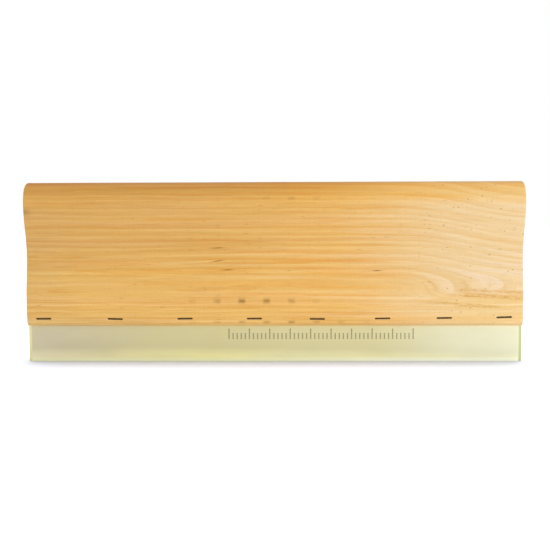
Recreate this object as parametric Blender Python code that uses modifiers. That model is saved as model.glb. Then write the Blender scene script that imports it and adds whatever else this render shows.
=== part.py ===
"""Screen printing squeegee: a moulded wooden handle, a urethane blade in its groove, and a row of wire staples.

The squeegee stands on the blade's printing edge. X runs along its length, Y through its thickness with the
stapled face at -Y, and Z up to the rounded grip. The origin is at the middle of the printing edge.
"""

import math

import bmesh
import bpy

MM = 0.001

# The blade is a strip of standard stock, two inches by three eighths, and about half of it shows.
BLADE_THICKNESS = 9.525 * MM
BLADE_WIDTH = 50.8 * MM
BLADE_EXPOSED = 26.2 * MM

# The handle is moulded along its whole length to one section, which is the same front and back.
LENGTH = 355.6 * MM
HANDLE_HEIGHT = 103.0 * MM
GRIP_HALF = 15.4 * MM  # half the thickness at the rounded grip
COVE_HALF = 7.8 * MM  # half the thickness at the bottom of the finger cove
JAW_HALF = 11.0 * MM  # half the thickness over the jaws
LIP_HALF = 6.6 * MM  # where the jaws' rounded corners meet the handle's underside
GRIP_DEPTH = 15.9 * MM  # these four are distances down from the handle's top
COVE_DEPTH = 56.5 * MM
SHOULDER_DEPTH = 81.0 * MM
LIP_DEPTH = 92.5 * MM
GROOVE_DEPTH = 24.9 * MM
EASED_END = 1.0 * MM  # the round that sanding leaves along the end faces' edges

# How far the section runs straight on, down or up, where it passes its widest and narrowest places.
GRIP_TO_COVE = (11.5 * MM, 16.5 * MM)
COVE_TO_JAW = (6.8 * MM, 8.8 * MM)
GRIP_FULLNESS = 0.69  # Bezier handle over radius: the rounded grip is a little fuller than a circle
QUARTER_CIRCLE = 0.5523  # the same ratio for a true quarter circle

# Wire staples go in through the front jaw, pass through the blade and stop inside the back jaw.
CROWN_WIDTH = 10.7 * MM
LEG_LENGTH = 19.0 * MM
WIRE_DEEP = 0.9 * MM  # the wire's thickness in the plane of the staple
WIRE_WIDE = 1.1 * MM
BEND_RADIUS = 1.2 * MM  # outside the wire, where a leg leaves the crown
TIP_LENGTH = 1.5 * MM  # the chisel point on each leg
CROWN_SINK = 0.8 * MM  # how far the crown lies behind the plane of the jaw's face
# They are driven by hand, so each row gives one staple's own place: its distance along the handle, its
# height above the jaws' underside, and its lean in degrees.
STAPLES = (
    (-165.6 * MM, 5.3 * MM, 0.3),
    (-113.9 * MM, 5.1 * MM, -1.5),
    (-63.6 * MM, 5.3 * MM, 0.7),
    (-13.8 * MM, 5.3 * MM, 0.4),
    (31.2 * MM, 5.0 * MM, 0.0),
    (77.8 * MM, 5.3 * MM, 1.0),
    (121.7 * MM, 5.6 * MM, 1.1),
    (164.2 * MM, 6.1 * MM, 2.1),
)

GAP = 0.3 * MM  # clearance between touching pieces
CUT_MARGIN = 4.0 * MM  # how far a cutter stands out past the face that it opens

UNDERSIDE = BLADE_EXPOSED
TOP = UNDERSIDE + HANDLE_HEIGHT
BEND_STEPS = 6  # straight pieces round a quarter of a staple's bend
SECTION_STEPS = 16  # straight pieces between two points of the handle's section


def clear_scene():
    for obj in list(bpy.data.objects):
        bpy.data.objects.remove(obj)


def new_collection(name):
    collection = bpy.data.collections.new(name)
    bpy.context.scene.collection.children.link(collection)
    return collection


def new_material(name, colour, roughness, metallic=0.0, transmission=0.0):
    material = bpy.data.materials.new(name)
    material.use_nodes = True
    shader = material.node_tree.nodes["Principled BSDF"]
    shader.inputs["Base Color"].default_value = (*colour, 1.0)
    shader.inputs["Roughness"].default_value = roughness
    shader.inputs["Metallic"].default_value = metallic
    shader.inputs["Transmission Weight"].default_value = transmission
    return material


def place(mesh, name, collection, material=None):
    obj = bpy.data.objects.new(name, mesh)
    collection.objects.link(obj)
    if material:
        mesh.materials.clear()
        mesh.materials.append(material)
    return obj


def flat_curve(name, half_thickness):
    """An empty 2D curve that fills its outline and extrudes it both ways."""
    curve = bpy.data.curves.new(name, "CURVE")
    curve.dimensions = "2D"
    curve.fill_mode = "BOTH"
    curve.extrude = half_thickness
    return curve


def mesh_from_curve(curve, name):
    """The curve's solid as a mesh, with its caps welded on and flat faces whole. The curve is removed."""
    source = bpy.data.objects.new(name, curve)
    bpy.context.scene.collection.objects.link(source)
    graph = bpy.context.evaluated_depsgraph_get()
    mesh = bpy.data.meshes.new_from_object(source.evaluated_get(graph))
    mesh.name = name
    bpy.data.objects.remove(source)
    bpy.data.curves.remove(curve)
    shape = bmesh.new()
    shape.from_mesh(mesh)
    bmesh.ops.remove_doubles(shape, verts=shape.verts, dist=0.001 * MM)
    bmesh.ops.dissolve_limit(shape, angle_limit=0.001, verts=shape.verts, edges=shape.edges)
    bmesh.ops.recalc_face_normals(shape, faces=shape.faces)
    shape.to_mesh(mesh)
    shape.free()
    return mesh


def vertical(y, z, before, after):
    """A section point that the outline passes straight down: its place, and its two Bezier handles."""
    return (y, z), (y, z + before), (y, z - after)


def corner(y, z):
    """A section point with straight lines on both sides."""
    return (y, z), None, None


def section_side():
    """The handle's section from the grip's widest place, down one side and up into the groove."""
    groove_half = BLADE_THICKNESS / 2 + GAP
    lip_fall = HANDLE_HEIGHT - LIP_DEPTH
    lip_run = JAW_HALF - LIP_HALF
    return [
        vertical(GRIP_HALF, TOP - GRIP_DEPTH, GRIP_DEPTH * GRIP_FULLNESS, GRIP_TO_COVE[0]),
        vertical(COVE_HALF, TOP - COVE_DEPTH, GRIP_TO_COVE[1], COVE_TO_JAW[0]),
        vertical(JAW_HALF, TOP - SHOULDER_DEPTH, COVE_TO_JAW[1], 0.0),
        vertical(JAW_HALF, TOP - LIP_DEPTH, 0.0, lip_fall * QUARTER_CIRCLE),
        ((LIP_HALF, UNDERSIDE), (LIP_HALF + lip_run * QUARTER_CIRCLE, UNDERSIDE), None),
        corner(groove_half, UNDERSIDE),
        corner(groove_half, UNDERSIDE + GROOVE_DEPTH),
    ]


def mirrored(points):
    """The same points on the other side, in the order that carries the outline on."""

    def flip(point):
        return point and (-point[0], point[1])

    return [(flip(at), flip(after), flip(before)) for at, before, after in reversed(points)]


def handle_mesh():
    """The section as a closed Bezier outline, extruded to the handle's length."""
    reach = GRIP_HALF * GRIP_FULLNESS
    top = ((0.0, TOP), (-reach, TOP), (reach, TOP))
    side = section_side()
    points = [top, *side, *mirrored(side)]
    curve = flat_curve("handle_section", LENGTH / 2)
    curve.resolution_u = SECTION_STEPS
    spline = curve.splines.new("BEZIER")
    spline.bezier_points.add(len(points) - 1)
    for bezier, (at, before, after) in zip(spline.bezier_points, points, strict=True):
        bezier.co = (*at, 0.0)
        bezier.handle_left_type = "FREE" if before else "VECTOR"
        bezier.handle_right_type = "FREE" if after else "VECTOR"
        if before:
            bezier.handle_left = (*before, 0.0)
        if after:
            bezier.handle_right = (*after, 0.0)
    spline.use_cyclic_u = True
    return mesh_from_curve(curve, "wood_handle")


def ease_ends(handle):
    """Rounds the edges round both end faces, and no others. The mesh's length still runs along its Z."""
    weights = handle.data.attributes.new("bevel_weight_edge", "FLOAT", "EDGE")
    vertices = handle.data.vertices
    for edge in handle.data.edges:
        first, last = (vertices[v].co.z for v in edge.vertices)
        weights.data[edge.index].value = float(first == last)
    bevel = handle.modifiers.new("eased ends", "BEVEL")
    bevel.limit_method = "WEIGHT"
    bevel.width = EASED_END
    bevel.segments = 3


def cut_staple_holes(obj, cutters):
    cut = obj.modifiers.new("staple holes", "BOOLEAN")
    cut.operation = "DIFFERENCE"
    cut.solver = "EXACT"
    cut.operand_type = "COLLECTION"
    cut.collection = cutters


def make_handle(parts, cutters):
    material = new_material("pine", (0.80, 0.52, 0.24), roughness=0.5)
    handle = place(handle_mesh(), "wood_handle", parts, material)
    # The section's plane turns upright, and its extrusion turns to lie along X.
    handle.rotation_euler = (math.pi / 2, 0.0, math.pi / 2)
    ease_ends(handle)
    cut_staple_holes(handle, cutters)
    handle.data.shade_smooth()
    handle.data.set_sharp_from_angle(angle=math.radians(40))


def make_blade(parts, cutters):
    """A plain strip, cut off flush with the handle's ends, with its square printing edge on the ground."""
    material = new_material("urethane", (0.72, 0.68, 0.42), roughness=0.3, transmission=0.5)
    mesh = bpy.data.meshes.new("urethane_blade")
    shape = bmesh.new()
    bmesh.ops.create_cube(shape, size=1.0)
    bmesh.ops.scale(shape, vec=(LENGTH, BLADE_THICKNESS, BLADE_WIDTH), verts=shape.verts)
    shape.to_mesh(mesh)
    shape.free()
    blade = place(mesh, "urethane_blade", parts, material)
    blade.location.z = BLADE_WIDTH / 2
    cut_staple_holes(blade, cutters)


def bend(x, y, radius, start, end):
    """Points round a quarter bend about (x, y), from one angle to another in degrees."""
    turn = (end - start) / BEND_STEPS
    angles = [math.radians(start + turn * step) for step in range(BEND_STEPS + 1)]
    return [(x + radius * math.cos(angle), y + radius * math.sin(angle)) for angle in angles]


def staple_outline():
    """A staple seen from above, its crown's outside on the X axis and its legs towards +Y."""
    half = CROWN_WIDTH / 2
    inner_radius = BEND_RADIUS - WIRE_DEEP
    right = [
        *bend(half - BEND_RADIUS, BEND_RADIUS, inner_radius, -90, 0),
        (half - WIRE_DEEP, LEG_LENGTH),
        (half, LEG_LENGTH - TIP_LENGTH),
        *bend(half - BEND_RADIUS, BEND_RADIUS, BEND_RADIUS, 0, -90),
    ]
    return right + [(-x, y) for x, y in reversed(right)]


def hole_outline():
    """The staple's slot and its two leg holes, with clearance, and open through the jaw's face."""
    half = CROWN_WIDTH / 2 + GAP
    inside = CROWN_WIDTH / 2 - WIRE_DEEP - GAP
    floor = WIRE_DEEP + GAP
    end = LEG_LENGTH + GAP
    right = [(inside, floor), (inside, end), (half, end), (half, -CUT_MARGIN)]
    return right + [(-x, y) for x, y in reversed(right)]


def extruded(name, outline, half_thickness):
    curve = flat_curve(name, half_thickness)
    spline = curve.splines.new("POLY")
    spline.points.add(len(outline) - 1)
    for point, (x, y) in zip(spline.points, outline, strict=True):
        point.co = (x, y, 0.0, 1.0)
    spline.use_cyclic_u = True
    return mesh_from_curve(curve, name)


def make_staples(parts, cutters):
    """The staples, and a cutter for each one's slot and leg holes."""
    material = new_material("staple_wire", (0.22, 0.18, 0.15), roughness=0.4, metallic=1.0)
    wire = extruded("staple", staple_outline(), WIRE_WIDE / 2)
    hole = extruded("staple_hole", hole_outline(), WIRE_WIDE / 2 + GAP)
    for number, (x, height, lean) in enumerate(STAPLES, start=1):
        staple = place(wire, f"staple_{number}", parts, material)
        cutter = place(hole, f"staple_hole_{number}", cutters)
        cutter.hide_render = True
        cutter.display_type = "WIRE"
        for obj in (staple, cutter):
            obj.location = (x, CROWN_SINK - JAW_HALF, UNDERSIDE + height)
            obj.rotation_euler.y = -math.radians(lean)


def main():
    clear_scene()
    parts = new_collection("squeegee")
    cutters = new_collection("cutters")
    make_staples(parts, cutters)
    make_handle(parts, cutters)
    make_blade(parts, cutters)


main()
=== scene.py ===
"""Looks of the screen printing squeegee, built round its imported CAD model.

The handle, the blade and each staple get a finer piece that stands for the CAD node and fits inside it. The
wood is a solid three-dimensional pattern of growth rings, so its grain runs on from the faces to the ends.
"""

import math

import bmesh
import bpy
from mathutils import Matrix, Vector, noise
from mathutils.geometry import interpolate_bezier


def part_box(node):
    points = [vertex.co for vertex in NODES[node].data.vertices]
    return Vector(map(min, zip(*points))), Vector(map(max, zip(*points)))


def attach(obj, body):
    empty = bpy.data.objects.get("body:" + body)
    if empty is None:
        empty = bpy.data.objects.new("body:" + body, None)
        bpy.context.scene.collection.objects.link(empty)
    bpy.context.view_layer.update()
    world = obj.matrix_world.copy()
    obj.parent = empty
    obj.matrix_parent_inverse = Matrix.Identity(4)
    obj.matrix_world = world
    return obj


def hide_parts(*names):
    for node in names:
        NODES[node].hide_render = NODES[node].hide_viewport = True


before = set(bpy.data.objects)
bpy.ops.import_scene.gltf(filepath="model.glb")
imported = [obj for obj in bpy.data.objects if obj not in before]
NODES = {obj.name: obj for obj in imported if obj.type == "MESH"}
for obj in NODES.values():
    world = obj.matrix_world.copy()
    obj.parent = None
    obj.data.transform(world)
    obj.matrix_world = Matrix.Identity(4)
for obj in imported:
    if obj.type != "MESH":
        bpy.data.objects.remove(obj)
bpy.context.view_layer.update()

MM = 0.001
ROOT = "root"
STAPLE_NODES = sorted(name for name in NODES if name.startswith("staple_"))
HANDLE_LOW, HANDLE_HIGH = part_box("wood_handle")
BLADE_LOW, BLADE_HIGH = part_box("urethane_blade")

# The camera looks at the stapled face from nearly square on, a little from above and from the right.
CAMERA_TARGET = Vector((0.8, 0.0, 62.1)) * MM
CAMERA_DISTANCE = 740.0 * MM
CAMERA_AZIMUTH = math.radians(1.33)
CAMERA_ELEVATION = math.radians(3.865)
CAMERA_ROLL = math.radians(-0.20)
CAMERA_LENS = 66.9  # mm, on Blender's 36 mm sensor

# Handle
SECTION_STEP = 1.1 * MM  # spacing of the points round the section's moulded side
STATION_STEP = 1.5 * MM  # spacing of the sections along the handle
END_ROUND = 1.0 * MM
INNER_END_ROUND = 0.35 * MM  # the same round inside the groove and on the lips
END_ROUND_RISE = 6.0 * MM  # the height above the lips over which it grows to the full round
LIP_FLAT = 0.5 * MM  # the lips' undersides lie within this height
END_STEPS = 5
LIP_CORNER = 0.45 * MM  # the jaws' corners at the groove's mouth
SAND_DEPTH = 0.09 * MM  # how far hand sanding wanders below the moulded surface
STAPLE_DENT = 0.16 * MM  # how far the stapler's nose presses the wood in round a crown
STAPLE_DENT_LONG = 7.0 * MM  # from its middle to where it fades, along the crown
STAPLE_DENT_HIGH = 1.9 * MM
ROLLER_PITCH = 17.8 * MM  # the feed rollers' marks, in rows along the handle
ROLLER_HEIGHTS = (44.3 * MM, 28.9 * MM, 117.4 * MM)
ROLLER_FIRST = -58.4 * MM
ROLLER_COUNT = 9
ROLLER_DENT = 0.10 * MM
ROLLER_DENT_LONG = 2.4 * MM
ROLLER_DENT_HIGH = 1.1 * MM

# Blade
BLADE_EDGE = 0.25 * MM  # the round along the blade's long edges
KNIFE_ROUND = 0.15 * MM  # the round that the knife leaves at its cut ends
BLADE_POINT_STEP = 4.0 * MM
BLADE_WAVE = 0.05 * MM  # unevenness of the cast sheet

# The printed scale on the blade: a row of ticks, each a column of ink-jet dots
TICK_FIRST = -32.5 * MM
TICK_PITCH = 2.95 * MM
TICK_COUNT = 46
TICK_BASE = 16.6 * MM
DOT_PITCH = 1.1 * MM
DOT_RADIUS = 0.5 * MM
DOT_SIDES = 12
INK_THICKNESS = 0.04 * MM
LONG_TICK = 5  # each fifth tick is a long one
LONG_TICK_DOTS = 7
SHORT_TICK_DOTS = 4

# Staple wire
WIRE_DEEP = 0.9 * MM
WIRE_WIDE = 1.1 * MM
WIRE_CORNER = 0.28 * MM
BEND_RADIUS = 0.75 * MM  # at the middle of the wire
BEND_STEPS = 6
TIP_LENGTH = 1.5 * MM
TIP_THICKNESS = 0.12 * MM
WIRE_DENT = 0.03 * MM  # how unevenly the wire is drawn
HOLE_GAP = 0.05 * MM  # between the wire and the wood or the urethane round it
# How far a crown's slot flares out from the wire at each depth behind the crown's outer face, in mm
SLOT_FLARES = ((-3.0, 0.9), (-0.55, 0.28), (-0.25, 0.14), (0.05, 0.05), (0.4, 0.0))
SLOT_FLARE_UP = 0.7  # how much of it there is above and below the crown
SLOT_TEAR = 0.45  # how ragged it is there, as a share of it


# ---------------------------------------------------------------------------------------------------------
# Shader helper


class Shader:
    """One material's nodes. Most methods add a node and return the socket that carries its result."""

    def __init__(self, name):
        self.material = bpy.data.materials.new(name)
        self.material.use_nodes = True
        self.tree = self.material.node_tree
        self.surface = self.tree.nodes["Principled BSDF"]

    def feed(self, socket, value):
        if isinstance(value, bpy.types.NodeSocket):
            self.tree.links.new(value, socket)
        else:
            socket.default_value = value

    def node(self, kind, output, inputs, **settings):
        made = self.tree.nodes.new(kind)
        for name, value in settings.items():
            setattr(made, name, value)
        for key, value in inputs.items():
            self.feed(made.inputs[key], value)
        return made.outputs[output]

    def set(self, **values):
        """Sets the surface's inputs, named in lower case with underscores."""
        for name, value in values.items():
            socket = name.replace("_", " ").title().replace("Ior", "IOR")
            self.feed(self.surface.inputs[socket], value)

    def place(self):
        """The point on the object, in millimetres."""
        metres = self.node("ShaderNodeTexCoord", "Object", {})
        return self.scaled(metres, (1000.0, 1000.0, 1000.0))

    def maths(self, operation, *values):
        return self.node("ShaderNodeMath", 0, dict(enumerate(values)), operation=operation)

    def total(self, *values):
        result = values[0]
        for value in values[1:]:
            result = self.maths("ADD", result, value)
        return result

    def product(self, *values):
        result = values[0]
        for value in values[1:]:
            result = self.maths("MULTIPLY", result, value)
        return result

    def less(self, first, second):
        return self.maths("SUBTRACT", first, second)

    def scaled(self, vector, factors):
        return self.node("ShaderNodeVectorMath", 0, {0: vector, 1: factors}, operation="MULTIPLY")

    def join(self, x, y, z):
        return self.node("ShaderNodeCombineXYZ", 0, {0: x, 1: y, 2: z})

    def split(self, vector):
        made = self.tree.nodes.new("ShaderNodeSeparateXYZ")
        self.feed(made.inputs[0], vector)
        return tuple(made.outputs)

    def noise(self, vector, factors, detail=2.0, roughness=0.5):
        """Noise from 0 to 1, about 0.5, whose grains are one over each factor long."""
        place = self.scaled(vector, factors)
        inputs = {"Vector": place, "Scale": 1.0, "Detail": detail, "Roughness": roughness}
        return self.node("ShaderNodeTexNoise", "Fac", inputs)

    def line_noise(self, value):
        """Noise from 0 to 1 that depends on one number."""
        inputs = {"W": value, "Scale": 1.0, "Detail": 1.0}
        return self.node("ShaderNodeTexNoise", "Fac", inputs, noise_dimensions="1D")

    def flecks(self, vector, factors, size, share):
        """Specks in a share of the cells of a random pattern, each cell one over each factor long."""
        made = self.tree.nodes.new("ShaderNodeTexVoronoi")
        self.feed(made.inputs["Vector"], self.scaled(vector, factors))
        self.feed(made.inputs["Scale"], 1.0)
        chosen = self.maths("LESS_THAN", self.split(made.outputs["Color"])[0], share)
        return self.product(chosen, self.fade(made.outputs["Distance"], size * 0.5, size, 1.0, 0.0))

    def fade(self, value, low, high, start=0.0, end=1.0):
        """Goes smoothly from start to end as value goes from low to high."""
        inputs = {"Value": value, "From Min": low, "From Max": high, "To Min": start, "To Max": end}
        return self.node("ShaderNodeMapRange", 0, inputs, interpolation_type="SMOOTHSTEP")

    def bell(self, value, centre, width):
        """1 where value is at the centre, falling to about a third one width away."""
        away = self.maths("DIVIDE", self.less(value, centre), width)
        return self.maths("EXPONENT", self.product(away, away, -1.0))

    def mix(self, factor, first, second, blend="MIX"):
        inputs = {0: factor, 6: first, 7: second}
        return self.node("ShaderNodeMix", 2, inputs, data_type="RGBA", blend_type=blend)

    def tinted(self, tone, strength, tint):
        """The tone multiplied by a tint, as far as strength says."""
        return self.mix(strength, tone, tint, "MULTIPLY")

    def bump(self, height_mm, strength=1.0):
        inputs = {"Height": height_mm, "Distance": MM, "Strength": strength}
        return self.node("ShaderNodeBump", "Normal", inputs)


def rgb(red, green, blue):
    return (red, green, blue, 1.0)


# ---------------------------------------------------------------------------------------------------------
# Materials

# The heart of the tree runs along the handle close under the stapled face, and sinks away from it towards
# the right-hand end, which draws the arches there. Below it the rings lie flat, so the arches end on them.
PITH_Y = -9.0
PITH_Z = 54.5
PITH_WANDER = 5.0
PITH_SINK = 26.0
PITH_SINK_FROM = 90.0
PITH_SINK_OVER = 58.0
RIGHT_FALL = 0.09  # how much more steeply than the arches the grain above them falls towards the right end
LOWER_SQUEEZE = 1.3
FLATTENING = 9.0  # the height over which the arches turn into the flat rings
RING_WIDTH = 4.9
RING_START = -0.84

# Stripes along the grain of the stapled face: height at the middle, half width, from where to where along
# the handle, all in mm, and how far each falls per mm towards the right
RESIN_STREAKS = (
    (50.8, 0.9, 126.0, 196.0, 0.05),
    (47.2, 1.5, 118.0, 196.0, 0.05),
    (41.6, 0.9, 96.0, 172.0, 0.07),
)
SUMMER_WOOD = (
    (118.6, 1.6, 78.0, 150.0, 0.03),
    (102.6, 1.0, -100.0, -30.0, 0.0),
    (79.3, 1.2, -50.0, 80.0, 0.0),
    (73.6, 1.4, -100.0, 112.0, 0.01),
    (71.3, 1.1, -160.0, -70.0, -0.01),
    (65.0, 1.8, -160.0, 10.0, -0.01),
    (63.6, 3.6, 12.0, 114.0, 0.03),
    (56.6, 1.9, -140.0, 85.0, 0.0),
    (54.0, 1.2, 10.0, 96.0, 0.0),
    (48.4, 1.0, -40.0, 108.0, 0.01),
)
SPRING_WOOD = (
    (76.7, 0.9, -85.0, 120.0, 0.01),
    (70.0, 1.0, -150.0, 80.0, 0.0),
    (61.0, 1.2, -130.0, 50.0, 0.0),
    (51.0, 1.0, -120.0, 120.0, 0.0),
    (46.3, 0.8, 5.0, 130.0, 0.01),
)
STRIPE_WANDER = 2.4
# Short marks where resin has dried: middle, height, half length and rise per mm of length
PITCH_MARKS = (
    (-40.0, 82.2, 4.0, 0.07),
    (-40.0, 72.8, 4.2, 0.14),
    (73.8, 65.7, 3.0, 0.05),
    (-33.0, 66.5, 3.6, 0.05),
)
PITCH_MARK_HALF_WIDTH = 0.36
# Tints by zone: the grip's is painted shade, and those on the top band, from 108 mm up, are painted light
# and painted shade for how the lamps fall there;
# the rest tint the wood by place. How each fades up the handle and along it, as (from, to, share at the
# first, share at the second) or None for everywhere, and its tint
ZONES = (
    ((58.0, 88.0, 0.0, 1.0), (-80.0, 110.0, 1.0, 0.45), rgb(0.835, 0.780, 0.71)),  # the grip: painted shade, darker up the face, most at the left
    ((108.0, 118.0, 0.0, 1.0), None, rgb(1.06, 1.03, 0.95)),  # the top: painted light, lighter up there
    # the top band: painted shade, more golden, then painted light at its very top
    ((112.0, 122.0, 0.0, 1.0), (-40.0, 30.0, 0.0, 1.0), rgb(1.03, 1.01, 0.86)),
    ((119.0, 126.0, 0.0, 1.0), None, rgb(1.0, 0.94, 0.80)),
    ((123.0, 127.5, 0.0, 1.0), None, rgb(1.18, 1.11, 1.05)),
    ((106.0, 118.0, 1.0, -0.4), (-175.0, -120.0, 1.0, 0.0), rgb(0.95, 0.955, 1.0)),  # the left-hand end
    # the top band: painted light, lighter towards the right
    ((119.0, 125.0, 0.0, 1.0), (50.0, 110.0, 0.0, 1.0), rgb(1.10, 1.09, 1.10)),
    ((44.0, 51.0, 1.0, 0.0), (95.0, 150.0, 0.0, 1.0), rgb(1.0, 0.97, 0.82)),  # the right-hand end, low down
    ((27.0, 33.0, 1.0, 0.0), None, rgb(0.965, 0.995, 1.15)),  # the lip over the blade
    ((30.0, 38.0, 1.0, 0.0), (-110.0, -70.0, 1.0, 0.0), rgb(0.955, 0.965, 1.0)),
    ((30.0, 38.0, 1.0, 0.0), (50.0, 90.0, 0.0, 1.0), rgb(1.04, 0.965, 0.84)),
)


class Pine(Shader):
    """Sealed pine as one solid pattern: growth rings, fine grain that follows them, dashes and specks."""

    def __init__(self, name, end_grain=False):
        super().__init__(name)
        self.point = self.place()
        self.x, self.y, self.z = self.split(self.point)
        self.find_radius()
        self.find_rings()
        self.find_grain()
        self.tone = self.sawn_wood()
        self.add_figure()
        self.add_zones()
        self.add_streaks()
        self.add_specks()
        self.add_marks()
        shade = self.fade(self.fibre, 0.25, 0.75, 0.93, 1.05)
        self.tint(1.0, self.join(shade, shade, shade))
        if end_grain:
            self.paint(0.35, rgb(0.40, 0.20, 0.07))
        self.finish(end_grain)

    def tint(self, strength, tint):
        """Multiplies the tone so far by a tint, as far as strength says."""
        self.tone = self.tinted(self.tone, strength, tint)

    def paint(self, strength, colour):
        """Covers the tone so far with a colour, as far as strength says."""
        self.tone = self.mix(strength, self.tone, colour)

    def find_radius(self):
        """How far a point is from the heart of the tree, in millimetres, with the wander of real grain."""
        wander = self.noise(self.point, (0.006, 0.02, 0.02))
        past = self.maths("MAXIMUM", self.less(self.x, PITH_SINK_FROM), 0.0)
        left = self.maths("EXPONENT", self.product(past, -1.0 / PITH_SINK_OVER))
        sink = self.product(self.less(1.0, left), PITH_SINK)
        across = self.less(self.less(self.y, PITH_Y), sink)
        up = self.total(self.z, -PITH_Z, self.product(wander, PITH_WANDER))
        arched = self.maths("SQRT", self.total(self.product(across, across), self.product(up, up)))
        flat = self.product(up, -LOWER_SQUEEZE)
        share = self.fade(up, -FLATTENING, 0.0)
        fall = self.product(self.fade(self.x, 85.0, 160.0), self.fade(up, 8.0, 26.0, 0.0, RIGHT_FALL))
        ripple = self.noise(self.point, (0.025, 0.10, 0.10))
        self.radius = self.total(
            flat,
            self.product(self.less(arched, flat), share),
            self.product(past, fall),
            self.product(ripple, 1.6),
        )

    def find_rings(self):
        """Rings differ in width. Each is pale on its outer side and dark on its inner side."""
        uneven = self.product(self.line_noise(self.product(self.radius, 0.11)), 1.2)
        count = self.total(self.product(self.radius, 1.0 / RING_WIDTH), uneven, RING_START)
        count = self.product(count, -1.0)
        self.across_ring = self.maths("FRACT", count)
        number = self.maths("FLOOR", count)
        strength = self.fade(self.line_noise(self.product(number, 7.31)), 0.32, 0.68, 0.35, 1.0)
        self.this_ring = self.product(strength, self.fade(self.radius, 8.5, 14.0))
        darkening = self.fade(self.across_ring, 0.35, 0.90)
        stopping = self.fade(self.across_ring, 0.93, 1.0, 1.0, 0.0)
        self.late = self.product(darkening, stopping, self.this_ring)
        self.early = self.product(self.fade(self.across_ring, 0.12, 0.45, 1.0, 0.0), self.this_ring)

    def find_grain(self):
        with_rings = self.join(self.x, self.radius, self.product(self.z, 0.12))
        self.band = self.noise(with_rings, (0.007, 0.13, 1.0))
        self.line = self.noise(with_rings, (0.010, 0.43, 0.5), detail=5.0, roughness=0.68)
        self.fibre = self.noise(self.point, (0.07, 3.0, 3.0), roughness=0.6)

    def sawn_wood(self):
        """The tone before any figure: the right-hand end is cut from paler wood."""
        along = self.fade(self.x, 16.0, 160.0, 0.0, 0.84)
        in_bands = self.fade(self.band, 0.35, 0.65, -0.12, 0.16)
        paleness = self.product(self.total(along, in_bands), self.fade(self.z, 108.0, 122.0, 1.0, 0.72))
        golden = rgb(0.712, 0.417, 0.104)
        pale = rgb(0.712, 0.540, 0.295)
        return self.mix(self.maths("MAXIMUM", paleness, 0.0), golden, pale)

    def add_figure(self):
        """The rings and the grain lines, and the broad stripes that they make close to the heart."""
        calm = self.product(
            self.fade(self.x, 70.0, 140.0, 1.0, 0.60),
            self.fade(self.z, 70.0, 90.0, 1.0, 0.75),
            self.fade(self.radius, 5.0, 15.0, self.fade(self.x, 60.0, 95.0, 0.75, 0.30), 1.0),
        )
        self.tint(self.product(self.late, calm), rgb(0.96, 0.84, 0.60))
        self.tint(self.product(self.early, calm), rgb(1.07, 1.12, 1.25))
        self.tint(self.product(self.fade(self.band, 0.45, 0.70), calm), rgb(1.0, 0.92, 0.80))
        self.tint(self.product(self.fade(self.line, 0.48, 0.37), calm), rgb(1.07, 1.12, 1.26))
        self.tint(self.product(self.fade(self.line, 0.53, 0.62), calm), rgb(0.95, 0.83, 0.62))
        for place in SUMMER_WOOD:
            self.tint(self.product(self.stripe(place), 0.85), rgb(1.0, 0.885, 0.65))
        for place in SPRING_WOOD:
            self.tint(self.stripe(place), rgb(1.05, 1.11, 1.30))
        # Where the saw has run along a ring, at the arches' tips, its pale side shows as a broad patch.
        broad = self.product(self.fade(self.across_ring, 0.25, 0.65, 1.0, 0.0), self.this_ring)
        tips = self.product(self.fade(self.x, 105.0, 145.0), self.bell(self.z, 62.0, 11.0), broad)
        self.tint(tips, rgb(1.05, 1.09, 1.42))

    def stripe(self, place):
        """One soft stripe along the grain, 0 to 1, no deeper than a few mm behind the stapled face."""
        height, half_width, start, end, fall = place
        taper = (end - start) * 0.3
        fade_in = self.fade(self.x, start, start + taper)
        fade_out = self.fade(self.x, end - taper, end, 1.0, 0.0)
        fallen = self.product(self.less(self.x, (start + end) / 2), fall)
        level = self.total(self.z, fallen, self.product(self.less(self.line, 0.5), STRIPE_WANDER))
        front = self.fade(self.y, -7.0, -4.5, 1.0, 0.0)
        return self.product(self.bell(level, height, half_width), fade_in, fade_out, front)

    def add_zones(self):
        for up, along, tint in ZONES:
            strength = self.fade(self.z, *up)
            if along:
                strength = self.product(strength, self.fade(self.x, *along))
            self.tint(strength, tint)
        self.tint(self.bell(self.z, 46.0, 15.0), rgb(1.0, 0.975, 0.935))
        # Painted shade: a darker line along the top edge, over the left and middle of the handle.
        top_edge_shade = self.product(
            self.bell(self.z, 125.2, 0.6),
            self.fade(self.x, -130.0, -100.0),
            self.fade(self.x, 10.0, 50.0, 1.0, 0.0),
        )
        self.tint(top_edge_shade, rgb(0.88, 0.82, 0.76))

    def add_streaks(self):
        """A few single resin streaks, and by the left-hand end part of a knot."""
        broken = self.fade(self.noise(self.point, (0.28, 0.9, 0.9), detail=3.0), 0.40, 0.60, 0.40, 1.15)
        for place in RESIN_STREAKS:
            self.tint(self.product(self.stripe(place), broken), rgb(0.83, 0.67, 0.37))
        knot = self.product(
            self.bell(self.x, -176.8, 4.2),
            self.bell(self.z, 108.2, 2.4),
            self.bell(self.y, -15.0, 5.0),
        )
        self.paint(self.product(knot, 0.65), rgb(0.340, 0.170, 0.040))

    def add_specks(self):
        """Resin ducts in patches, short dashes everywhere, and specks towards the right-hand end."""
        in_patches = self.fade(self.noise(self.point, (0.02, 0.07, 0.07), detail=1.0), 0.46, 0.58)
        self.ducts = self.product(self.flecks(self.point, (0.10, 0.9, 0.9), 0.24, 0.11), in_patches)
        dashes = self.flecks(self.point, (0.28, 1.5, 1.5), 0.34, 0.27)
        to_the_right = self.fade(self.x, 85.0, 125.0)
        self.specks = self.product(self.flecks(self.point, (0.30, 0.50, 0.50), 0.25, 0.15), to_the_right)
        self.paint(self.product(self.ducts, 0.45), rgb(0.230, 0.080, 0.014))
        self.paint(self.product(dashes, 0.22), rgb(0.330, 0.130, 0.025))
        self.paint(self.product(self.specks, 0.7), rgb(0.300, 0.150, 0.055))

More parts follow.
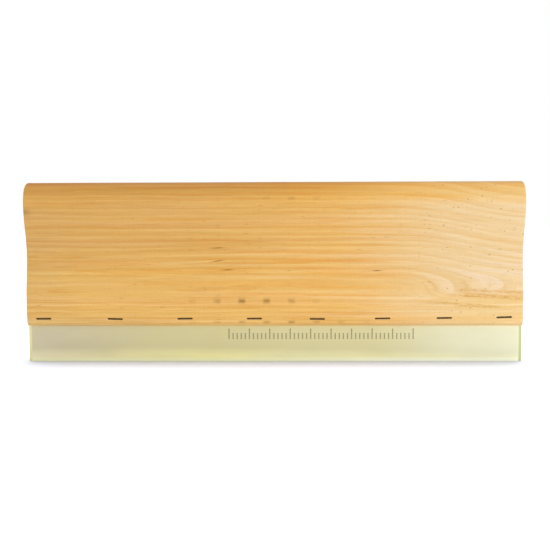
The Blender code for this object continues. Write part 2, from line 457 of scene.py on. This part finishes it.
    def add_marks(self):
        """Dried resin and the feed rollers' bruises, both on the stapled face only."""
        front = self.fade(self.y, -6.0, -3.0, 1.0, 0.0)
        for along, height, half, rise in PITCH_MARKS:
            sloped = self.less(self.z, self.product(self.less(self.x, along), rise))
            across = self.bell(sloped, height, PITCH_MARK_HALF_WIDTH)
            mark = self.product(across, self.bell(self.x, along, half), front)
            self.paint(self.product(mark, 0.95), rgb(0.230, 0.085, 0.008))
        self.tint(self.product(self.roller_marks(), front), rgb(0.47, 0.42, 0.26))

    def roller_marks(self):
        """Where a machine's feed rollers have left rows of brown bruises along the handle, 0 to 1."""
        turn = self.product(self.less(self.x, ROLLER_FIRST / MM), 2.0 * math.pi * MM / ROLLER_PITCH)
        bruise = self.fade(self.maths("COSINE", turn), 0.30, 1.05)
        middle, low, high = (height / MM for height in ROLLER_HEIGHTS)
        rows = self.total(
            self.product(self.bell(self.z, middle, 1.8), self.bell(self.x, -16.0, 35.0)),
            self.product(self.bell(self.z, low, 1.0), self.bell(self.x, 2.0, 52.0), 0.85),
            self.product(self.bell(self.z, high, 1.1), self.bell(self.x, 14.0, 26.0), 0.4),
        )
        mottle = self.noise(self.point, (0.16, 0.50, 0.50), detail=4.0, roughness=0.6)
        return self.product(bruise, rows, self.fade(mottle, 0.32, 0.58, 0.55, 1.0))

    def finish(self, end_grain):
        rough = self.total(
            self.fade(self.late, 0.0, 1.0, 0.56, 0.46),
            self.fade(self.fibre, 0.2, 0.8, -0.04, 0.05),
            0.15 if end_grain else 0.0,
        )
        height = self.total(
            self.product(self.late, 0.025),
            self.product(self.fibre, 0.03),
            self.product(self.ducts, -0.05),
            self.product(self.specks, -0.04),
        )
        self.set(
            base_color=self.tone,
            roughness=rough,
            specular_ior_level=0.35,
            normal=self.bump(height, 0.8 if end_grain else 0.5),
        )


def crushed_wood():
    """The walls of the staples' slots: torn fibres, darkened by the wire."""
    shader = Shader("crushed_wood")
    point = shader.place()
    fibre = shader.noise(point, (0.3, 4.0, 4.0), detail=3.0, roughness=0.65)
    stain = shader.noise(point, (0.8, 0.8, 0.8), detail=2.0)
    tone = shader.mix(shader.fade(fibre, 0.3, 0.7), rgb(0.38, 0.19, 0.065), rgb(0.58, 0.34, 0.12))
    shader.set(
        base_color=shader.mix(shader.fade(stain, 0.4, 0.7), tone, rgb(0.24, 0.13, 0.06)),
        roughness=shader.fade(fibre, 0.2, 0.8, 0.75, 0.95),
        normal=shader.bump(shader.product(fibre, 0.15), 0.8),
    )
    return shader.material


def urethane():
    """Cast urethane, hazy and straw coloured, with painted shade that makes it greyer up by the jaws and
    painted light that makes it yellower at the printing edge and lighter to the right.
    """
    shader = Shader("urethane")
    point = shader.place()
    x, y, z = shader.split(point)
    cloud = shader.less(shader.noise(point, (0.010, 0.03, 0.03), detail=2.0), 0.5)
    haze = shader.noise(point, (0.03, 0.10, 0.10), detail=3.0)
    # The wavy line up the blade where the painted shade above ends and the painted light below begins.
    low = shader.total(z, shader.product(cloud, 14.0))
    # Painted shade: the upper part greyer, and darker towards the left-hand end.
    shaded_upper = shader.mix(shader.fade(x, -180.0, -60.0), rgb(0.600, 0.525, 0.325), rgb(0.656, 0.580, 0.265))
    shaded_upper = shader.mix(shader.fade(x, -50.0, 20.0), shaded_upper, rgb(0.688, 0.618, 0.300))
    shaded_upper = shader.mix(shader.fade(x, 60.0, 150.0), shaded_upper, rgb(0.775, 0.748, 0.492))
    # Painted light: the lower part lighter and yellower, and lighter towards the right-hand end.
    lit_lower = shader.mix(shader.fade(x, -180.0, -60.0), rgb(0.870, 0.780, 0.470), rgb(0.930, 0.852, 0.375))
    lit_lower = shader.mix(shader.fade(x, -50.0, 20.0), lit_lower, rgb(0.985, 0.935, 0.490))
    lit_lower = shader.mix(shader.fade(x, 60.0, 150.0), lit_lower, rgb(0.955, 0.915, 0.545))
    tone = shader.mix(shader.fade(low, 1.5, 10.2), lit_lower, shaded_upper)
    tone = shader.mix(shader.fade(haze, 0.35, 0.70, 0.0, 0.25), tone, rgb(0.670, 0.615, 0.365))
    tone = shader.tinted(tone, shader.fade(z, 23.5, 26.0), rgb(1.08, 1.01, 0.90))
    # Light carried through the sheet comes out along the printing edge and at the two ends.
    edge_tone = shader.mix(shader.fade(x, -20.0, 110.0), rgb(0.990, 0.975, 0.590), rgb(1.0, 1.0, 0.790))
    tone = shader.mix(shader.fade(z, 0.8, 3.6, 0.8, 0.0), tone, edge_tone)
    glow = shader.fade(shader.maths("ABSOLUTE", x), 175.3, 176.3)
    strip = shader.mix(shader.fade(x, -10.0, 10.0), rgb(0.850, 0.750, 0.330), rgb(0.530, 0.540, 0.190))
    fine = shader.noise(point, (0.4, 0.8, 0.8), detail=3.0)
    shader.set(
        base_color=shader.mix(glow, tone, strip),
        roughness=shader.fade(fine, 0.2, 0.8, 0.34, 0.42),
        transmission_weight=0.1,
        ior=1.5,
        normal=shader.bump(shader.product(haze, 0.10), 0.4),
    )
    return shader.material


def cut_urethane():
    """The blade's cut ends, where light carried along the blade comes out a stronger yellow."""
    shader = Shader("cut_urethane")
    point = shader.place()
    score = shader.noise(point, (1.0, 3.0, 0.15), detail=3.0, roughness=0.6)
    tone = shader.mix(shader.fade(score, 0.3, 0.7), rgb(0.78, 0.70, 0.12), rgb(0.72, 0.66, 0.20))
    shader.set(
        base_color=tone,
        roughness=shader.fade(score, 0.2, 0.8, 0.40, 0.55),
        transmission_weight=0.2,
        normal=shader.bump(shader.product(score, 0.08), 0.6),
    )
    return shader.material


def staple_wire():
    """Dark brown wire, scuffed bright along its edges by the stapler: partly its own dark coating and
    partly painted shade from its slot.
    """
    shader = Shader("staple_wire")
    point = shader.place()
    drawn = shader.noise(point, (0.25, 6.0, 6.0), detail=2.0)
    patch = shader.noise(point, (0.9, 0.9, 0.9), detail=3.0)
    # Painted shade in part: the wire darker than bare coated wire, for the shade it lies in down its slot.
    dark = shader.mix(shader.fade(patch, 0.35, 0.65), rgb(0.060, 0.037, 0.016), rgb(0.135, 0.092, 0.046))
    shader.set(
        base_color=shader.mix(shader.fade(drawn, 0.62, 0.80, 0.0, 0.5), dark, rgb(0.34, 0.27, 0.17)),
        metallic=1.0,
        roughness=shader.fade(patch, 0.2, 0.8, 0.38, 0.6),
        normal=shader.bump(shader.product(drawn, 0.02), 0.6),
    )
    return shader.material


def printing_ink():
    shader = Shader("printing_ink")
    point = shader.place()
    wear = shader.noise(point, (1.6, 1.6, 1.6), detail=3.0)
    shader.set(
        base_color=shader.mix(shader.fade(wear, 0.3, 0.7), rgb(0.16, 0.14, 0.045), rgb(0.25, 0.22, 0.085)),
        roughness=shader.fade(wear, 0.2, 0.8, 0.5, 0.7),
    )
    return shader.material


def paper_floor():
    shader = Shader("paper_floor")
    point = shader.place()
    tooth = shader.noise(point, (0.5, 0.5, 0.5), detail=2.0)
    shader.set(
        base_color=shader.mix(tooth, rgb(0.822, 0.842, 0.892), rgb(0.832, 0.852, 0.902)),
        roughness=0.9,
        specular_ior_level=0.0,
    )
    return shader.material


# ---------------------------------------------------------------------------------------------------------
# Mesh helpers


def finished(name, shape, materials, sharp=None):
    """A new object from a bmesh, smooth shaded, keeping edges sharper than the given angle in degrees."""
    bmesh.ops.recalc_face_normals(shape, faces=shape.faces)
    mesh = bpy.data.meshes.new(name)
    shape.to_mesh(mesh)
    shape.free()
    for material in materials:
        mesh.materials.append(material)
    mesh.shade_smooth()
    if sharp:
        mesh.set_sharp_from_angle(angle=math.radians(sharp))
    obj = bpy.data.objects.new(name, mesh)
    bpy.context.scene.collection.objects.link(obj)
    return obj


def tube(shape, rings, material=0, cap_material=0):
    """A closed solid through rings of points, with a flat face on each end."""
    made = [[shape.verts.new(point) for point in ring] for ring in rings]
    for first, second in zip(made, made[1:]):
        for i in range(len(first)):
            side = shape.faces.new((first[i - 1], first[i], second[i], second[i - 1]))
            side.material_index = material
    for ring in (made[0], made[-1]):
        shape.faces.new(ring).material_index = cap_material


def subtract(obj, cutters, sharp):
    """Cuts closed objects out of obj, whose new faces take their materials, and removes them."""
    group = bpy.data.collections.new("cutters")
    for cutter in cutters:
        group.objects.link(cutter)
    cut = obj.modifiers.new("cut", "BOOLEAN")
    cut.solver = "EXACT"
    cut.operand_type = "COLLECTION"
    cut.collection = group
    cut.material_mode = "TRANSFER"
    graph = bpy.context.evaluated_depsgraph_get()
    obj.data = bpy.data.meshes.new_from_object(obj.evaluated_get(graph))
    obj.modifiers.clear()
    obj.data.set_sharp_from_angle(angle=math.radians(sharp))
    for cutter in cutters:
        bpy.data.objects.remove(cutter)
    bpy.data.collections.remove(group)


def stand_for(obj, node):
    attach(obj, ROOT)
    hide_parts(node)


def rounded_rectangle(half_width, half_height, radius, corner_steps=4):
    """Points round a rectangle about the origin, from its right side anticlockwise."""
    points = []
    for quarter, (side, top) in enumerate(((1, 1), (-1, 1), (-1, -1), (1, -1))):
        for step in range(corner_steps + 1):
            angle = math.radians(90 * quarter + 90 * step / corner_steps)
            points.append((
                side * (half_width - radius) + radius * math.cos(angle),
                top * (half_height - radius) + radius * math.sin(angle),
            ))
    return points


# ---------------------------------------------------------------------------------------------------------
# Staples


class StaplePlace:
    """Where one staple is, read from its CAD node."""

    def __init__(self, node):
        low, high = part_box(node)
        size = high - low
        self.node = node
        self.face = low.y
        self.leg_length = size.y
        self.middle = (low + high) / 2
        # The box is higher than the wire is wide only because the staple leans.
        slope = (size.z - WIRE_WIDE) / size.x
        offsets = [v.co - self.middle for v in NODES[node].data.vertices]
        rises = sum(offset.x * offset.z for offset in offsets) > 0
        self.lean = math.atan(max(slope, 0.0)) * (1 if rises else -1)
        self.half_crown = (size.x - WIRE_WIDE * abs(math.sin(self.lean))) / 2 / math.cos(self.lean)

    def at(self, along, depth, up=0.0):
        """The point this far along the crown, behind its outer face and across the wire."""
        cosine, sine = math.cos(self.lean), math.sin(self.lean)
        x = self.middle.x + along * cosine - up * sine
        z = self.middle.z + along * sine + up * cosine
        return Vector((x, self.face + depth, z))


def wire_path(place):
    """The staple's centre line from tip to tip, as (along, depth, direction in degrees)."""
    reach = place.half_crown - WIRE_DEEP / 2
    turn = reach - BEND_RADIUS
    bend_depth = WIRE_DEEP / 2 + BEND_RADIUS
    left = []
    for depth in (place.leg_length, place.leg_length - TIP_LENGTH, place.leg_length * 0.6, bend_depth):
        left.append((-reach, depth, -90.0))
    for step in range(1, BEND_STEPS + 1):
        turned = 90.0 * step / BEND_STEPS
        angle = math.radians(turned)
        left.append((
            -turn - BEND_RADIUS * math.cos(angle),
            bend_depth - BEND_RADIUS * math.sin(angle),
            turned - 90.0,
        ))
    crown = [(turn * share, WIRE_DEEP / 2, 0.0) for share in (-0.75, -0.5, -0.25, 0.0, 0.25, 0.5, 0.75)]
    right = [(-along, depth, -direction) for along, depth, direction in reversed(left)]
    return left + crown + right


def make_staple(place, material):
    """One staple, its wire swept round the bends and cut to a chisel point on each leg."""
    shape = bmesh.new()
    profile = rounded_rectangle(WIRE_DEEP / 2, WIRE_WIDE / 2, WIRE_CORNER)
    path = wire_path(place)
    seed = Vector((place.middle.x / MM, 0.0, 0.0))
    rings = []
    for number, (along, depth, direction) in enumerate(path):
        angle = math.radians(direction)
        # The profile's first axis points out of the bend, which is away from the staple's inside.
        out = (math.sin(angle), -math.cos(angle))
        is_tip = number in (0, len(path) - 1)
        dent = WIRE_DENT * noise.noise(seed + Vector((along / MM * 0.6, depth / MM * 0.2, 0.0)))
        ring = []
        for deep, wide in profile:
            if is_tip:  # the chisel's edge lies along the leg's inner side
                deep = -WIRE_DEEP / 2 + TIP_THICKNESS * (deep / WIRE_DEEP + 0.5)
            reach = deep + dent
            ring.append(place.at(along + out[0] * reach, max(depth + out[1] * reach, 0.0), wide))
        rings.append(ring)
    tube(shape, rings)
    obj = finished(place.node + "_wire", shape, [material], sharp=50)
    stand_for(obj, place.node)


def leg_cutters(place, material):
    """Two holes for a staple's legs, from its crown to just past its points."""
    cutters = []
    for side in (-1, 1):
        shape = bmesh.new()
        centre = side * (place.half_crown - WIRE_DEEP / 2)
        profile = rounded_rectangle(WIRE_DEEP / 2 + HOLE_GAP, WIRE_WIDE / 2 + HOLE_GAP, WIRE_CORNER, 3)
        ends = (WIRE_DEEP / 2, place.leg_length + HOLE_GAP)
        tube(shape, [[place.at(centre + a, depth, up) for a, up in profile] for depth in ends])
        cutters.append(finished("leg_hole", shape, [material]))
    return cutters


def slot_cutter(place, material):
    """The slot that a crown has crushed into the jaw: clean at its floor, torn and flared at the face."""
    shape = bmesh.new()
    floor = (WIRE_DEEP + HOLE_GAP) / MM
    rings = []
    for depth, flare in (*SLOT_FLARES, (floor, 0.0)):
        half_long = place.half_crown + HOLE_GAP + flare * MM
        half_wide = WIRE_WIDE / 2 + HOLE_GAP + flare * SLOT_FLARE_UP * MM
        ring = []
        for along, up in slot_outline(half_long, half_wide):
            where = Vector((along / MM * 0.9 + place.middle.x / MM, up / MM * 2.0, depth))
            tear = flare * SLOT_TEAR * MM * noise.noise(where)
            ring.append(place.at(along, depth * MM, up + math.copysign(tear, up)))
        rings.append(ring)
    tube(shape, rings)
    return finished("slot", shape, [material])


def slot_outline(half_long, half_wide, count=20):
    """Points round a long narrow slot with rounded ends."""
    straight = half_long - half_wide
    top = [(straight - 2 * straight * i / count, half_wide) for i in range(count + 1)]
    turns = [math.radians(90 + 180 * i / 8) for i in range(1, 8)]
    left = [(-straight + half_wide * math.cos(a), half_wide * math.sin(a)) for a in turns]
    half = top + left
    return half + [(-along, -up) for along, up in half]


# ---------------------------------------------------------------------------------------------------------
# Handle


def cad_outline(node, x):
    """The CAD node's section at x, as (y, z) points in order, without those that lie on a straight line."""
    shape = bmesh.new()
    shape.from_mesh(NODES[node].data)
    bmesh.ops.remove_doubles(shape, verts=shape.verts, dist=0.001 * MM)
    everything = [*shape.verts, *shape.edges, *shape.faces]
    cut = bmesh.ops.bisect_plane(shape, geom=everything, plane_co=(x, 0, 0), plane_no=(1, 0, 0))["geom_cut"]
    edges = [part for part in cut if isinstance(part, bmesh.types.BMEdge)]
    first = edges[0].verts[0]
    loop, last, here = [first], None, first
    while True:
        step = next(e for e in here.link_edges if e in edges and e is not last)
        here, last = step.other_vert(here), step
        if here is first:
            break
        loop.append(here)
    points = [Vector((v.co.y, v.co.z)) for v in loop]
    shape.free()
    return [p for i, p in enumerate(points) if turn_at(points, i) > math.radians(0.2)]


def turn_at(points, i):
    """How far a closed outline turns at one of its points."""
    before = points[i] - points[i - 1]
    after = points[(i + 1) % len(points)] - points[i]
    return before.angle(after, 0.0)


def smoothed(points, step):
    """A fine open curve through points, with its ends."""
    curve = [points[0]]
    for i in range(len(points) - 1):
        start, end = points[i], points[i + 1]
        before = points[i - 1] if i else start
        after = points[i + 2] if i + 2 < len(points) else end
        length = (end - start).length
        leaving = (end - before).normalized() * length / 3
        arriving = (after - start).normalized() * length / 3
        pieces = max(1, round(length / step))
        curve += interpolate_bezier(start, start + leaving, end - arriving, end, pieces + 1)[1:]
    return [Vector(point[:2]) for point in curve]


def rounded_corner(corner, before, after, radius, steps=4):
    start = corner + (before - corner).normalized() * radius
    end = corner + (after - corner).normalized() * radius
    arc = interpolate_bezier(start, start.lerp(corner, 0.55), end.lerp(corner, 0.55), end, steps + 1)
    return [Vector(point[:2]) for point in arc]


class Section:
    """The handle's outline: points, outward normals, and each point's own round at the handle's ends."""

    def __init__(self):
        between = (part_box("staple_4")[1].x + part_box("staple_5")[0].x) / 2
        outline = cad_outline("wood_handle", between)
        corners = [i for i in range(len(outline)) if turn_at(outline, i) > math.radians(40)]
        mouth = sorted((i for i in corners if outline[i].y < HANDLE_LOW.z + MM))
        # The moulded side is the longer way round from one corner of the groove's mouth to the other.
        start, end = mouth
        inner, outer = outline[start:end + 1], outline[end:] + outline[:start + 1]
        if len(inner) > len(outer):
            inner, outer = outer, inner
        moulded = smoothed(outer, SECTION_STEP)
        first, last = moulded[0], moulded[-1]
        clear = LIP_CORNER * 1.3
        self.points = [
            *rounded_corner(first, inner[-2], moulded[1], LIP_CORNER),
            *(p for p in moulded if min((p - first).length, (p - last).length) > clear),
            *rounded_corner(last, moulded[-2], inner[1], LIP_CORNER),
            *inner[1:-1],
        ]
        self.groove = len(inner) - 2  # the last points, which lie inside the groove
        self.normals = self.outward()
        self.end_rounds = [self.end_round(i) for i in range(len(self.points))]

    def outward(self):
        count = len(self.points)
        area = sum(self.points[i - 1].cross(self.points[i]) for i in range(count))
        side = 1.0 if area > 0 else -1.0
        normals = []
        for i in range(count):
            before = (self.points[i] - self.points[i - 1]).normalized()
            after = (self.points[(i + 1) % count] - self.points[i]).normalized()
            mean = (before + after).normalized()
            normal = Vector((mean.y, -mean.x)) * side
            # At a groove's corner the offset follows both walls.
            normals.append(normal / max(math.cos(before.angle(after) / 2), 0.5))
        return normals

    def is_moulded(self, i):
        return i < len(self.points) - self.groove and self.points[i].y > HANDLE_LOW.z + LIP_FLAT

    def end_round(self, i):
        if not self.is_moulded(i):
            return INNER_END_ROUND
        rise = min((self.points[i].y - HANDLE_LOW.z) / END_ROUND_RISE, 1.0)
        return INNER_END_ROUND + (END_ROUND - INNER_END_ROUND) * rise


def handle_wear(x, y, z, places):
    """How far the visible surface lies below the moulded one: sanding, staple dents and roller marks."""
    drift = noise.noise(Vector((x / MM * 0.012, y / MM * 0.05, z / MM * 0.04)))
    depth = SAND_DEPTH * (0.5 + 0.5 * drift)
    if y > 0:
        return depth
    for place in places:
        along = (x - place.middle.x) / STAPLE_DENT_LONG
        up = (z - place.middle.z) / STAPLE_DENT_HIGH
        depth += STAPLE_DENT * math.exp(-along ** 4 - up ** 2)
    for number in range(ROLLER_COUNT):
        fading = 1.0 - number / ROLLER_COUNT * 0.8
        along = (x - ROLLER_FIRST - number * ROLLER_PITCH) / ROLLER_DENT_LONG
        for height in ROLLER_HEIGHTS:
            up = (z - height) / ROLLER_DENT_HIGH
            depth += ROLLER_DENT * fading * math.exp(-along ** 2 - up ** 2)
    return depth


def handle_stations():
    """Pairs of a distance along the handle and how far through its end round that section is, 0 to 1."""
    first = HANDLE_LOW.x + END_ROUND
    last = HANDLE_HIGH.x - END_ROUND
    count = math.ceil((last - first) / STATION_STEP)
    body = [(first + (last - first) * i / count, 1.0) for i in range(count + 1)]
    shares = [step / END_STEPS for step in range(END_STEPS)]
    left = [(HANDLE_LOW.x, share) for share in shares]
    right = [(HANDLE_HIGH.x, share) for share in reversed(shares)]
    return [*left, *body, *right]


def make_handle(places, wood, end_grain, crushed):
    section = Section()
    shape = bmesh.new()
    rings = []
    for station, share in handle_stations():
        angle = share * math.pi / 2
        inward = 1.0 if station < 0 else -1.0
        ring = []
        for i, (point, normal) in enumerate(zip(section.points, section.normals)):
            radius = section.end_rounds[i]
            x, inset = station, 0.0
            if share < 1.0:
                x += inward * radius * (1.0 - math.cos(angle))
                inset = radius * (1.0 - math.sin(angle))
            y, z = point
            if section.is_moulded(i):
                inset += handle_wear(x, y, z, places)
            ring.append((x, y - normal.x * inset, z - normal.y * inset))
        rings.append(ring)
    tube(shape, rings, material=0, cap_material=1)
    handle = finished("handle_wood", shape, [wood, end_grain], sharp=50)
    cutters = [slot_cutter(place, crushed) for place in places]
    for place in places:
        cutters += leg_cutters(place, crushed)
    subtract(handle, cutters, sharp=50)
    stand_for(handle, "wood_handle")


# ---------------------------------------------------------------------------------------------------------
# Blade


def blade_hollow(x, z):
    """How far the blade's face lies in from the flat, where the cast sheet is uneven."""
    wave = noise.noise(Vector((x / MM * 0.02, z / MM * 0.05, 3.0)))
    return BLADE_WAVE * (0.5 + 0.5 * wave)


def blade_outline(half_thick, half_high):
    """The blade's section about its middle, as (y, z) points spaced up its two faces."""
    corners = rounded_rectangle(half_thick, half_high, BLADE_EDGE, 3)
    outline = []
    for i, (y, z) in enumerate(corners):
        outline.append((y, z))
        rise = corners[(i + 1) % len(corners)][1] - z
        count = round(abs(rise) / BLADE_POINT_STEP)
        outline += [(y, z + rise * step / count) for step in range(1, count)]
    return outline


def blade_stations():
    """Pairs of a distance along the blade and how far its section is drawn in there."""
    length = BLADE_HIGH.x - BLADE_LOW.x
    count = round(length / BLADE_POINT_STEP)
    left = [(BLADE_LOW.x, KNIFE_ROUND), (BLADE_LOW.x + KNIFE_ROUND, 0.0)]
    body = [(BLADE_LOW.x + length * i / count, 0.0) for i in range(1, count)]
    right = [(BLADE_HIGH.x - KNIFE_ROUND, 0.0), (BLADE_HIGH.x, KNIFE_ROUND)]
    return [*left, *body, *right]


def make_blade(places, sheet, cut_end):
    half_thick = (BLADE_HIGH.y - BLADE_LOW.y) / 2
    half_high = (BLADE_HIGH.z - BLADE_LOW.z) / 2
    middle = (BLADE_HIGH.z + BLADE_LOW.z) / 2
    outline = blade_outline(half_thick, half_high)
    rings = []
    for x, inset in blade_stations():
        ring = []
        for y, z in outline:
            hollow = min(blade_hollow(x, z + middle) + inset, abs(y))
            shrink = 1.0 - inset / half_high
            ring.append((x, math.copysign(abs(y) - hollow, y), middle + z * shrink))
        rings.append(ring)
    shape = bmesh.new()
    tube(shape, rings, material=0, cap_material=1)
    blade = finished("blade_urethane", shape, [sheet, cut_end], sharp=50)
    cutters = [cutter for place in places for cutter in leg_cutters(place, sheet)]
    subtract(blade, cutters, sharp=50)
    stand_for(blade, "urethane_blade")


def printed_dot(shape, x, z):
    face = BLADE_LOW.y + blade_hollow(x, z)
    turns = [2 * math.pi * side / DOT_SIDES for side in range(DOT_SIDES)]
    rim = [(x + DOT_RADIUS * math.cos(turn), z + DOT_RADIUS * math.sin(turn)) for turn in turns]
    depths = (face + INK_THICKNESS / 2, face - INK_THICKNESS / 2)
    tube(shape, [[(across, y, up) for across, up in rim] for y in depths])


def make_scale(ink):
    """Ticks printed on the blade's face as columns of dots."""
    shape = bmesh.new()
    for tick in range(TICK_COUNT):
        dots = SHORT_TICK_DOTS if tick % LONG_TICK else LONG_TICK_DOTS
        for row in range(dots):
            printed_dot(shape, TICK_FIRST + tick * TICK_PITCH, TICK_BASE + row * DOT_PITCH)
    scale = finished("printed_scale", shape, [ink], sharp=40)
    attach(scale, ROOT)


# ---------------------------------------------------------------------------------------------------------
# Floor, light and camera


def make_floor():
    shape = bmesh.new()
    bmesh.ops.create_grid(shape, x_segments=8, y_segments=8, size=4.0)
    floor = finished("floor", shape, [paper_floor()])
    return floor


def white_room():
    """Even light from all round, in front of which the camera sees pure white."""
    world = bpy.data.worlds.new("white_room")
    bpy.context.scene.world = world
    world.use_nodes = True
    nodes, links = world.node_tree.nodes, world.node_tree.links
    room = nodes["Background"]
    room.inputs["Color"].default_value = rgb(0.90, 0.92, 1.0)
    room.inputs["Strength"].default_value = 0.70
    seen = nodes.new("ShaderNodeBackground")
    seen.inputs["Color"].default_value = rgb(1.0, 1.0, 1.0)
    rays = nodes.new("ShaderNodeLightPath")
    choose = nodes.new("ShaderNodeMixShader")
    links.new(rays.outputs["Is Camera Ray"], choose.inputs[0])
    links.new(room.outputs[0], choose.inputs[1])
    links.new(seen.outputs[0], choose.inputs[2])
    links.new(choose.outputs[0], nodes["World Output"].inputs["Surface"])


def lamp(name, kind, energy, at, target=Vector(), **settings):
    light = bpy.data.lights.new(name, kind)
    light.energy = energy
    for setting, value in settings.items():
        setattr(light, setting, value)
    obj = bpy.data.objects.new(name, light)
    bpy.context.scene.collection.objects.link(obj)
    obj.location = at
    obj.rotation_euler = (Vector(target) - Vector(at)).to_track_quat("-Z", "Y").to_euler()
    return obj


def make_lights(floor):
    """The room, a soft overhead light for the floor alone, and a soft low light for all but the floor."""
    white_room()
    soft_sun = {"angle": math.radians(32), "color": (0.93, 0.96, 1.0)}
    overhead = lamp("overhead", "SUN", 3.1, (0.02, 0.13, 1.0), **soft_sun)
    only_floor = bpy.data.collections.new("only_floor")
    only_floor.objects.link(floor)
    overhead.light_linking.receiver_collection = only_floor
    disk = {"shape": "DISK", "size": 0.6, "color": (1.0, 0.98, 0.95)}
    key = lamp("key", "AREA", 5.0, (0.62, -0.75, 0.10), (0.1, 0.0, 0.06), **disk)
    not_floor = bpy.data.collections.new("not_floor")
    not_floor.objects.link(floor)
    not_floor.collection_objects[0].light_linking.link_state = "EXCLUDE"
    key.light_linking.receiver_collection = not_floor


def make_camera():
    back = Vector((
        math.sin(CAMERA_AZIMUTH) * math.cos(CAMERA_ELEVATION),
        -math.cos(CAMERA_AZIMUTH) * math.cos(CAMERA_ELEVATION),
        math.sin(CAMERA_ELEVATION),
    ))
    right = Vector((math.cos(CAMERA_AZIMUTH), math.sin(CAMERA_AZIMUTH), 0.0))
    up = back.cross(right)
    turn = Matrix((right, up, back)).transposed() @ Matrix.Rotation(CAMERA_ROLL, 3, "Z")
    camera = bpy.data.objects.new("camera", bpy.data.cameras.new("camera"))
    bpy.context.scene.collection.objects.link(camera)
    camera.data.lens = CAMERA_LENS
    camera.matrix_world = Matrix.Translation(CAMERA_TARGET + back * CAMERA_DISTANCE) @ turn.to_4x4()
    bpy.context.scene.camera = camera


def main():
    make_camera()
    make_lights(make_floor())
    places = [StaplePlace(node) for node in STAPLE_NODES]
    wire = staple_wire()
    for place in places:
        make_staple(place, wire)
    wood = Pine("pine").material
    end_grain = Pine("pine_end_grain", end_grain=True).material
    make_handle(places, wood, end_grain, crushed_wood())
    make_blade(places, urethane(), cut_urethane())
    make_scale(printing_ink())
    bpy.context.scene.view_settings.view_transform = "Standard"


main()
